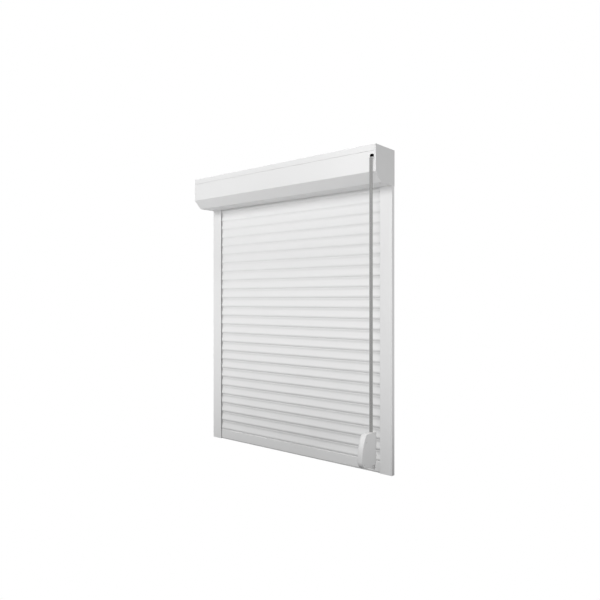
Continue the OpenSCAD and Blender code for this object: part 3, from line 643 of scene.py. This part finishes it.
def makeEndCaps():
    e = endCap

    def middle(edge):
        return (edge.verts[0].co + edge.verts[1].co) / (2 * mm)

    def onRim(edge):  # the outer face's front and lower edges
        p = middle(edge)
        return bothAt(edge, 0, -e["face"], e["face"]) and p.y < e["rimY"] and p.z < e["rimZ"]

    def onSkin(edge):
        return abs(middle(edge).x) > e["skin"] and steeper(edge, e["steep"])

    for side in ("left", "right"):
        bm = nodeShape("end_cap_" + side)
        breakEdges(bm, onRim, e["rim"], steps=5)
        breakEdges(bm, onSkin, e["edge"])
        keepPiece("endCap" + side.capitalize(), bm, "end_cap_" + side, smooth=40)


rails = {"corner": 0.9, "front": -18.0, "outer": 498.3, "inner": 445.3, "end": 546.9, "steep": 60.0,
         "edge": 0.25}


def makeRails():
    r = rails
    sides = (-r["outer"], -r["inner"], r["inner"], r["outer"])

    def corner(edge):  # the upright outer corners
        return sameOn(edge, 0, 1) and bothAt(edge, 1, r["front"], 0) and bothAt(edge, 0, *sides)

    def atEnd(edge):
        return all(abs(v.co.z) / mm > r["end"] for v in edge.verts) and steeper(edge, r["steep"])

    for side in ("left", "right"):
        bm = nodeShape("guide_rail_" + side)
        breakEdges(bm, corner, r["corner"], steps=4)
        breakEdges(bm, atEnd, r["edge"])
        keepPiece("guideRail" + side.capitalize(), bm, "guide_rail_" + side)


placeCamera()
makeBoxPanels()
makeEndCaps()
makeRails()
print("box and rails made")


# weather strips in the rail mouths: a carrier band and a row of pile tufts
strips = {"x": 446.6, "band": 5.0, "thick": 1.2, "front": (-16.5, -12.4), "rear": (-1.5, -3.6),
          "low": -547.0, "high": 521.9, "pile": 2.0, "pitch": 2.2, "spare": 2.0, "first": 1.2,
          "rooted": 0.1, "foot": (0.42, 0.36), "tip": (0.46, 0.47), "lean": 0.25, "short": 0.25, "seed": 7}


def addTuft(bm, x, z, face, tip, out, lean, short):
    s = strips
    foot, top = [], []
    for dx, dz in ((-1, -1), (1, -1), (1, 1), (-1, 1)):
        footX, footZ = dx * s["pile"] * s["foot"][0], dz * s["pitch"] * s["foot"][1]
        topX, topZ = dx * s["pile"] * s["tip"][0], dz * s["pitch"] * s["tip"][1]
        foot.append(addPoint(bm, x + footX, face - out * s["rooted"], z + footZ))
        top.append(addPoint(bm, x + topX, tip - out * short, z + lean + topZ))
    closedRun(bm, [foot, top])


def makeRailStrips():
    s = strips
    low, high = s["low"], s["high"]
    draw = random.Random(s["seed"])
    bm = bmesh.new()
    for side in (-1, 1):
        x0, x1 = sorted((side * s["x"], side * (s["x"] + s["band"])))
        for root, tip in (s["front"], s["rear"]):
            out = 1 if tip > root else -1
            face = root + out * s["thick"]
            prismX(bm, [(root, low), (face, low), (face, high), (root, high)], x0, x1)
            for k in range(int((high - low - s["spare"]) / s["pitch"])):
                lean = draw.uniform(-s["lean"], s["lean"])
                short = draw.uniform(0, s["short"])
                addTuft(bm, (x0 + x1) / 2, low + s["first"] + k * s["pitch"], face, tip, out, lean, short)
    keepPiece("railStrips", bm, "rail_strips", coat="pileBlack")


# caps over the access holes: turned, flush, with a fine edge and open at the rear
plugCap = {"x": 485.3, "z": 450.0, "radius": 5.98, "front": -18.0, "rear": -14.0, "edge": 0.1, "soft": 0.03,
           "lead": 0.4, "wall": 1.2, "floor": 1.4, "steps": 32}


def makeRailPlugs():
    p = plugCap
    r, y, rear = p["radius"], p["front"], p["rear"]
    hollow = r - p["wall"]
    line = [(0, y), (r - p["edge"], y), (r - p["soft"], y + p["soft"]), (r, y + p["edge"]),
            (r, rear - p["lead"]), (r - p["lead"], rear), (hollow, rear),
            (hollow, y + p["floor"]), (0, y + p["floor"])]
    bm = bmesh.new()
    for x in (-p["x"], p["x"]):
        for z in (-p["z"], p["z"]):
            turnedY(bm, (x, z), line, p["steps"])
    keepPiece("railPlugs", bm, "rail_plugs", coat="railCoatLit")


# screws with a domed head and a cross recess, the head towards out
screwForm = {"steps": 48, "dome": 0.28, "brow": 0.55, "browFrom": 0.72, "slot": 0.24, "sunk": 0.62,
             "rings": (0.08, 0.16, 0.24, 0.34, 0.44, 0.52, 0.58, 0.62, 0.72, 0.84, 0.93, 1.0),
             "taper": 0.8, "point": 0.5}


def addScrew(bm, seat, out, screw):
    form, head, high, length = screwForm, screw["head"], screw["high"], screw["length"]
    w = Vector(out)
    u = w.orthogonal().normalized()
    v = w.cross(u)

    def at(x, y, z):
        return bm.verts.new((Vector(seat) + u * x + v * y + w * z) * mm)

    def topHeight(x, y):
        r = hypot(x, y) / head
        brow = max(0, r - form["browFrom"]) ** 2 / (1 - form["browFrom"]) ** 2
        z = high * (1 - form["dome"] * r ** 2 - form["brow"] * brow)
        small, large = sorted((abs(x), abs(y)))
        inCross = small < screw["arm"] * form["slot"] and large < screw["arm"]
        return z - high * form["sunk"] if inCross else z

    def ringAt(radius, height):
        turns = [2 * pi * k / form["steps"] for k in range(form["steps"])]
        places = [(radius * cos(a), radius * sin(a)) for a in turns]
        return [at(x, y, height(x, y)) for x, y in places]

    rings = [[at(0, 0, topHeight(0, 0))]]
    rings += [ringAt(head * share, topHeight) for share in form["rings"]]
    shank, tip = screw["shank"], screw["shank"] * form["point"]
    for radius, z in ((head, 0.0), (shank, 0.0), (shank, -length * form["taper"]), (tip, -length)):
        rings.append(ringAt(radius, lambda x, y: z))
    rings.append([at(0, 0, -length)])
    joinRings(bm, rings)


panelScrew = {"x": 487.0, "ys": (-84.0, -29.0), "z": 547.0, "head": 3.5, "high": 2.0, "shank": 1.7,
              "length": 7.6, "arm": 2.0}


def makePanelScrews():
    p = panelScrew
    bm = bmesh.new()
    for x in (-p["x"], p["x"]):
        for y in p["ys"]:
            addScrew(bm, (x, y, p["z"]), (0, 0, -1), p)
    keepPiece("panelScrews", bm, "panel_screws")


# spring strips from the tube to the top slat
hangers = {"edge": 0.2, "joint": "curtain_lift", "keep": 0.5}


def makeHangers():
    bm = nodeShape("curtain_hangers")
    breakEdges(bm, every, hangers["edge"])
    piece = keepPiece("curtainHangers", bm, "curtain_hangers")
    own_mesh(piece)


# curtain: roll-formed slats with a round lower lip, a hollow front and a hook web
# leans: height above the foot and how far the front leans back there
slat = {"count": 26, "front": -12.0, "thick": 8.0, "body": 39.9, "half": 467.3,
        "lip": 14.0, "lipUp": 9.5, "lean": 10.5, "leans": ((29.0, 6.0), (39.9, -15.0)), "back": 100.0,
        "web": 3.8, "webThick": 1.0, "bulb": 2.6, "bulbHigh": 2.0, "neck": 5.4, "mouth": 3.5, "sink": 0.8,
        "air": 0.4, "arcSteps": 14, "leanSteps": 9, "roundSteps": 3}
slatRounds = {"edge": 0.15, "nook": 0.25, "web": 0.2, "neck": 0.4, "bulb": 0.7, "shoulder": 0.6,
              "heel": 0.4, "mouth": 0.3, "hook": 0.2}


def slatFront(mouthL):  # the round lip, then a front whose lean changes with the height
    s = slat
    lipStart = 180 + degrees(acos((s["lip"] - mouthL) / s["lip"]))
    line = arcLine((s["lip"], s["lipUp"]), s["lip"], lipStart, 180 - s["lean"], s["arcSteps"])
    low, lean, steps = line[-1][1], s["lean"], s["leanSteps"]
    for high, nextLean in s["leans"]:
        for k in range(steps):
            here = radians(lean + (nextLean - lean) * (k + 0.5) / steps)
            y, z = line[-1]
            line.append((y + (high - low) / steps * tan(here), z + (high - low) / steps))
        low, lean = high, nextLean
    return line


def slatBack():
    s = slat
    mid = s["body"] / 2
    swing = degrees(atan2(mid, sqrt(s["back"] ** 2 - mid ** 2)))
    return arcLine((s["thick"] - s["back"], mid), s["back"], swing, -swing, s["arcSteps"])


def slatOutline():
    s, r = slat, slatRounds
    left, right = s["web"] - s["webThick"] / 2, s["web"] + s["webThick"] / 2
    bulbL, bulbR = s["web"] - s["bulb"] / 2, s["web"] + s["bulb"] / 2
    mouthL, mouthR = left - s["air"], right + s["air"]
    wideL, wideR = bulbL - s["air"], bulbR + s["air"]
    roof = s["neck"] + s["bulbHigh"] + s["air"]
    topZ, neckZ = s["body"], s["body"] + s["neck"]
    bulbZ = neckZ + s["bulbHigh"]
    front, back = slatFront(mouthL), slatBack()
    corners = [(p, 0) for p in front[:-1]] + [(front[-1], r["edge"])]
    corners += [
        ((left, topZ - s["sink"]), r["nook"]), ((left, neckZ), r["web"]),
        ((bulbL, neckZ), r["neck"]), ((bulbL, bulbZ), r["bulb"]),
        ((bulbR, bulbZ), r["bulb"]), ((bulbR, neckZ), r["neck"]),
        ((right, neckZ), r["web"]), ((right, topZ), r["nook"]),
    ]
    corners += [(back[0], r["shoulder"])] + [(p, 0) for p in back[1:-1]] + [(back[-1], r["heel"])]
    corners += [
        ((mouthR, 0), r["mouth"]), ((mouthR, s["mouth"]), r["hook"]),
        ((wideR, s["mouth"]), r["hook"]), ((wideR, roof), r["mouth"]),
        ((wideL, roof), r["mouth"]), ((wideL, s["mouth"]), r["hook"]),
        ((mouthL, s["mouth"]), r["hook"]),
    ]
    return roundLine(*zip(*corners), steps=s["roundSteps"])


def makeSlats():
    s = slat
    outline = slatOutline()
    for i in range(1, s["count"] + 1):
        name = "slat_%02d" % i
        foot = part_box(name)[0].z / mm
        bm = bmesh.new()
        prismX(bm, [(s["front"] + p[0], foot + p[1]) for p in outline], -s["half"], s["half"])
        keepPiece("slat%02d" % i, bm, name, smooth=38)


bar = {"front": -12.0, "back": -4.0, "low": -543.0, "high": -503.6, "corner": 0.9, "plugEdge": 0.35}


def makeBottomBar():
    b = bar

    def corner(edge):  # the four lengthwise corners
        onFace = bothAt(edge, 1, b["front"], b["back"])
        return onFace and bothAt(edge, 2, b["low"], b["high"]) and sameOn(edge, 1, 2)

    bm = nodeShape("bottom_bar")
    breakEdges(bm, corner, b["corner"], steps=4)
    keepPiece("bottomBar", bm, "bottom_bar")
    bm = nodeShape("bar_end_plugs")
    breakEdges(bm, every, b["plugEdge"])
    keepPiece("barEndPlugs", bm, "bar_end_plugs")


# rubber sill seal: two soft lips below, a stem and a foot in the bar's groove
# profile: across, up, rounding
seal = {"front": -12.0, "low": -547.0, "roundSteps": 3, "profile": (
    (0.1, 3.9, 0.3), (0.1, 0.9, 0.9), (0.9, 0.0, 0.5), (2.6, 0.0, 0.6), (3.3, 1.1, 0.5), (4.7, 1.1, 0.5),
    (5.4, 0.0, 0.6), (7.1, 0.0, 0.5), (7.9, 0.9, 0.9), (7.9, 3.9, 0.3), (5.5, 3.9, 0.2), (5.5, 7.1, 0.2),
    (6.7, 7.1, 0.3), (6.7, 8.0, 0.3), (1.3, 8.0, 0.3), (1.3, 7.1, 0.3), (2.5, 7.1, 0.2), (2.5, 3.9, 0.2))}


def makeSillSeal():
    s = seal
    points = [(s["front"] + row[0], s["low"] + row[1]) for row in s["profile"]]
    outline = roundLine(points, [row[2] for row in s["profile"]], s["roundSteps"])
    low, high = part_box("sill_seal")
    bm = bmesh.new()
    prismX(bm, outline, low.x / mm, high.x / mm)
    keepPiece("sillSeal", bm, "sill_seal", smooth=45)


makeRailStrips()
makeRailPlugs()
makePanelScrews()
makeHangers()
makeSlats()
makeBottomBar()
makeSillSeal()
print("curtain, strips and screws made")


# lift strap: woven tape from the pulley over the nose to the winder's reel
strap = {"x": 483.0, "width": 14.0, "thick": 1.2, "rear": -137.5, "nose": (-133.4, 630.7), "bend": 4.1,
         "bendSteps": 14, "axis": (-66.0, 614.0), "run": 37.4, "end": -426.5, "step": 1.4, "across": 13,
         "thin": 0.55, "thinPower": 10, "rib": 0.06, "ribReach": 0.9, "ribAcross": 4.6, "ribAlong": 5.6}


def strapRoute():
    s = strap
    half = s["thick"] / 2
    nose, axis = Vector(s["nose"]), Vector(s["axis"])
    gap = nose - axis
    angle = (atan2(gap.y, gap.x) - acos((s["run"] - s["bend"]) / gap.length)) % (2 * pi)
    corners = [axis + Vector((cos(angle), sin(angle))) * (s["run"] + half)]
    corners += [Vector(p) for p in arcLine(nose, s["bend"] + half, degrees(angle), 180, s["bendSteps"])]
    corners.append(Vector((s["rear"] - half, s["end"])))
    route = [corners[0]]
    for a, b in zip(corners, corners[1:]):
        parts = max(1, round((b - a).length / s["step"]))
        route += [a.lerp(b, k / parts) for k in range(1, parts + 1)]
    return route


def sweepStrap(bm, route):
    s = strap
    half = s["thick"] / 2
    rings, run = [], 0.0
    for i, here in enumerate(route):
        before, after = route[max(i - 1, 0)], route[min(i + 1, len(route) - 1)]
        run += (here - before).length
        d = (after - before).normalized()
        face = Vector((d.y, -d.x))  # away from what the strap lies on
        ring = []
        for side in (1, -1):
            for k in range(s["across"]):
                u = (2 * k / (s["across"] - 1) - 1) * side
                deep = half * (1 - s["thin"] * abs(u) ** s["thinPower"])
                if abs(u) < s["ribReach"]:
                    turns = u * s["width"] / s["ribAcross"] + side * run / s["ribAlong"]
                    deep -= s["rib"] * (0.5 + 0.5 * sin(2 * pi * turns))
                p = here + face * deep * side
                ring.append(addPoint(bm, s["x"] + u * s["width"] / 2, p.x, p.y))
        rings.append(ring)
    closedRun(bm, rings)


def makeLiftStrap():
    bm = bmesh.new()
    sweepStrap(bm, strapRoute())
    piece = keepPiece("liftStrap", bm, "lift_strap", smooth=50)
    piece.visible_shadow = False  # the photograph's light leaves none beside it


# what is wound up: strap on the pulley and on the reel, and the reel's spring, one spiral each
turnSteps = 56
windings = {
    "pulley_strap_coil": {"name": "pulleyWinding", "centre": (-66.0, 614.0), "inner": 30.15, "outer": 37.1,
                          "across": (476.0, 490.0), "pitch": 1.2, "thick": 1.164},
    "reel_strap_coil": {"name": "reelWinding", "centre": (-163.5, -426.5), "inner": 15.15, "outer": 24.5,
                        "across": (476.0, 490.0), "pitch": 1.2, "thick": 1.164},
    "winder_spring": {"name": "winderSpring", "centre": (-163.5, -426.5), "inner": 5.62, "outer": 12.88,
                      "across": (475.1, 491.0), "pitch": 0.9, "thick": 0.45},
}


def makeWindings():
    for node, w in windings.items():
        y, z = w["centre"]
        x0, x1 = w["across"]
        turns = (w["outer"] - w["inner"] - w["thick"]) / w["pitch"]
        steps = int(turns * turnSteps)
        bm = bmesh.new()
        rings = []
        for k in range(steps + 1):
            a = 2 * pi * turns * k / steps
            low = w["inner"] + w["pitch"] * a / (2 * pi)
            high = low + w["thick"]
            corners = ((x0, low), (x1, low), (x1, high), (x0, high))
            rings.append([addPoint(bm, x, y + r * cos(a), z + r * sin(a)) for x, r in corners])
        closedRun(bm, rings)
        keepPiece(w["name"], bm, node)


strapGuide = {"edge": 0.3, "steep": 60.0}


def makeStrapGuide():
    bm = nodeShape("strap_guide")
    breakEdges(bm, lambda edge: steeper(edge, strapGuide["steep"]), strapGuide["edge"])
    keepPiece("strapGuide", bm, "strap_guide")


# winder: bowed case, well rounded along its left side, inset cover, base plate with its tab
winder = {"left": 470.0, "right": 496.0, "front": -213.5, "back": -123.0, "low": -481.0, "high": -362.0,
          "wall": 2.0, "round": 10.0, "bow": 165.0, "bowDown": 86.0, "crest": 12.0, "foot": 25.0,
          "rear": 3.0, "mouth": 1.2, "lip": 0.3, "cover": 0.7, "plateLeft": 472.1, "plateTop": -365.1,
          "plateRound": 9.0, "tab": 3.5, "tabLow": -499.0, "edge": 0.3, "steep": 60.0,
          "cutStep": 10, "cutWeld": 1e-7, "zone": 0.2, "skin": 0.08, "within": 0.3}


def intoCase(y, z):  # how deep a point lies below the case's outline, and the way further in
    w = winder
    p = Vector((y, z))
    foot = Vector((w["front"] + w["foot"], w["low"] + w["foot"]))
    bow = Vector((w["front"] + w["bow"], w["high"] - w["bowDown"]))
    crestZ = w["high"] - w["crest"]
    crest = Vector((bow.x - sqrt((w["bow"] - w["crest"]) ** 2 - (crestZ - bow.y) ** 2), crestZ))
    lean, fromCrest = crest - bow, p - crest
    if y > w["back"] - w["rear"] - w["zone"]:  # the two rear corners, with a flat rear between
        up = z > (w["low"] + w["high"]) / 2
        edge, way = (w["high"], Vector((0, -1))) if up else (w["low"], Vector((0, 1)))
        corner = Vector((w["back"] - w["rear"], edge + way.y * w["rear"]))
        if abs(z - edge) > w["rear"] + w["zone"]:
            return w["wall"] / 2, Vector((0, 0))
        return (w["rear"] - (p - corner).length if y > corner.x else abs(z - edge)), way
    if y < foot.x and z < foot.y:
        return w["foot"] - (p - foot).length, (foot - p).normalized()
    if y < crest.x and lean.x * fromCrest.y - lean.y * fromCrest.x < 0:
        return w["crest"] - fromCrest.length, -fromCrest.normalized()
    if y < crest.x and z > bow.y:
        return w["bow"] - (p - bow).length, (bow - p).normalized()
    if y < foot.x:
        return y - w["front"], Vector((1, 0))
    return (w["high"] - z, Vector((0, -1))) if z > bow.y else (z - w["low"], Vector((0, 1)))


def caseDepth(vertex):
    return intoCase(vertex.co.y / mm, vertex.co.z / mm)


def roundCase(bm):  # the walls drawn in towards the left, both skins about one centre line
    w = winder
    centre = w["left"] + w["round"]
    for radius in (w["round"], w["round"] - w["wall"]):
        for angle in range(w["cutStep"], 90, w["cutStep"]):
            cut = (centre - radius * sin(radians(angle))) * mm
            bmesh.ops.bisect_plane(bm, geom=bm.verts[:] + bm.edges[:] + bm.faces[:], dist=w["cutWeld"],
                                   plane_co=(cut, 0, 0), plane_no=(1, 0, 0))
    for v in bm.verts:
        depth, way = caseDepth(v)
        reach = centre - v.co.x / mm
        if reach <= 0 or depth > w["wall"] + w["within"]:
            continue
        radius = w["round"] if near(depth, 0, w["skin"]) else w["round"] - w["wall"]
        drawn = radius - sqrt(max(radius ** 2 - reach ** 2, 0))
        v.co.y += way.x * drawn * mm
        v.co.z += way.y * drawn * mm


def makeWinder():
    w = winder

    def atMouth(edge, depth):
        onSkin = all(near(caseDepth(v)[0], depth, w["skin"]) for v in edge.verts)
        return bothAt(edge, 0, w["right"]) and onSkin

    def tabCorner(edge):
        return bothAt(edge, 2, w["tabLow"]) and sameOn(edge, 0)

    def plateCorner(edge):  # the corner inside the case's rounding
        return bothAt(edge, 2, w["plateTop"]) and bothAt(edge, 0, w["plateLeft"])

    bm = nodeShape("winder_case")
    roundCase(bm)
    breakEdges(bm, lambda edge: atMouth(edge, 0), w["mouth"], steps=4)
    breakEdges(bm, lambda edge: atMouth(edge, w["wall"]), w["lip"])
    keepPiece("winderCase", bm, "winder_case", smooth=40)

    bm = nodeShape("winder_cover")
    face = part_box("winder_cover")[1].x / mm
    breakEdges(bm, lambda edge: bothAt(edge, 0, face), w["cover"], steps=3)
    # the cover's lighter tone is painted light on the winder's side
    keepPiece("winderCover", bm, "winder_cover", coat="coverPlasticLit", smooth=40)

    bm = nodeShape("winder_base_plate")
    breakEdges(bm, tabCorner, w["tab"], steps=5)
    breakEdges(bm, plateCorner, w["plateRound"], steps=6)
    breakEdges(bm, lambda edge: steeper(edge, w["steep"]), w["edge"])
    keepPiece("winderBasePlate", bm, "winder_base_plate")


coverScrew = {"places": ((-185.5, -390.0), (-199.5, -467.0)), "face": 495.4, "head": 1.5, "high": 0.4,
              "shank": 1.45, "length": 9.5, "arm": 0.95}


def makeCoverScrews():
    c = coverScrew
    bm = bmesh.new()
    for y, z in c["places"]:
        addScrew(bm, (c["face"], y, z), (1, 0, 0), c)
    keepPiece("coverScrews", bm, "winder_screws")


makeLiftStrap()
makeWindings()
makeStrapGuide()
makeWinder()
makeCoverScrews()
print("strap and winder made")

# studio: white surround, pale floor, soft lights in front, overhead, at the side and behind
studio = {"ambient": 0.33, "seen": 1.0, "floorPlace": (0.1, 0.0, -0.5475), "floorReach": 8.0,
          "floorNear": 0.14, "floorFar": 0.80, "floorFade": (0.45, 1.6)}
lamps = {
    "keyLight": {"place": (-0.8, -2.85, 1.2), "aim": (0.0, -0.05, 0.1), "size": (1.2, 1.2), "watts": 42.5},
    "topLight": {"place": (0.2, -1.05, 4.8), "aim": (0.0, -0.05, -0.2), "size": (1.6, 1.5), "watts": 110.0},
    "sideLight": {"place": (3.3, -1.0, 0.0), "aim": (0.4, -0.1, 0.0), "size": (1.2, 1.2), "watts": 16.5},
    "backLight": {"place": (-0.9, 2.2, 1.4), "aim": (0.0, 0.0, 0.0), "size": (1.6, 1.6), "watts": 26.0},
}


def addLamps():
    for name, lamp in lamps.items():
        data = bpy.data.lights.new(name, "AREA")
        data.shape = "RECTANGLE"
        data.size, data.size_y = lamp["size"]
        data.energy = lamp["watts"]
        way = Vector(lamp["aim"]) - Vector(lamp["place"])
        stand = bpy.data.objects.new(name, data)
        stand.location = lamp["place"]
        stand.rotation_euler = way.to_track_quat("-Z", "Y").to_euler()
        stand.visible_camera = False
        scene.collection.objects.link(stand)


# the camera sees plain white, everything else gets the soft light given here
def whiteOut(tree, kind, strength):
    seen = addNode(tree, kind, {"Color": grey(1.0), "Strength": studio["seen"]}).outputs[0]
    soft = addNode(tree, kind, {"Color": grey(1.0), "Strength": strength}).outputs[0]
    ray = addNode(tree, "ShaderNodeLightPath").outputs["Is Camera Ray"]
    return addNode(tree, "ShaderNodeMixShader", {0: ray, 1: soft, 2: seen}).outputs[0]


def makeFloor():
    s = studio
    reach = s["floorReach"]
    corners = [(-reach, -reach, 0), (reach, -reach, 0), (reach, reach, 0), (-reach, reach, 0)]
    mesh = bpy.data.meshes.new("floor")
    mesh.from_pydata(corners, [], [(0, 1, 2, 3)])
    floor = bpy.data.objects.new("floor", mesh)
    floor.location = s["floorPlace"]
    scene.collection.objects.link(floor)
    material, tree = newMaterial("paleFloor")[:2]
    tree.nodes.clear()
    away = addNode(tree, "ShaderNodeVectorMath", {0: objectPlace(tree)}, operation="LENGTH")
    lit = mapRange(tree, away.outputs["Value"], s["floorFade"], (s["floorNear"], s["floorFar"]))
    white = whiteOut(tree, "ShaderNodeEmission", lit)
    below = addNode(tree, "ShaderNodeNewGeometry").outputs["Backfacing"]
    clear = addNode(tree, "ShaderNodeBsdfTransparent").outputs[0]  # seen from below, it shows the underside
    skin = addNode(tree, "ShaderNodeMixShader", {0: below, 1: white, 2: clear}).outputs[0]
    addNode(tree, "ShaderNodeOutputMaterial", {"Surface": skin})
    mesh.materials.append(material)


def makeSurround():
    world = bpy.data.worlds.new("studioWhite")
    scene.world = world
    world.use_nodes = True
    world.node_tree.nodes.clear()
    white = whiteOut(world.node_tree, "ShaderNodeBackground", studio["ambient"])
    addNode(world.node_tree, "ShaderNodeOutputWorld", {"Surface": white})


makeSurround()
makeFloor()
addLamps()
print("studio made")
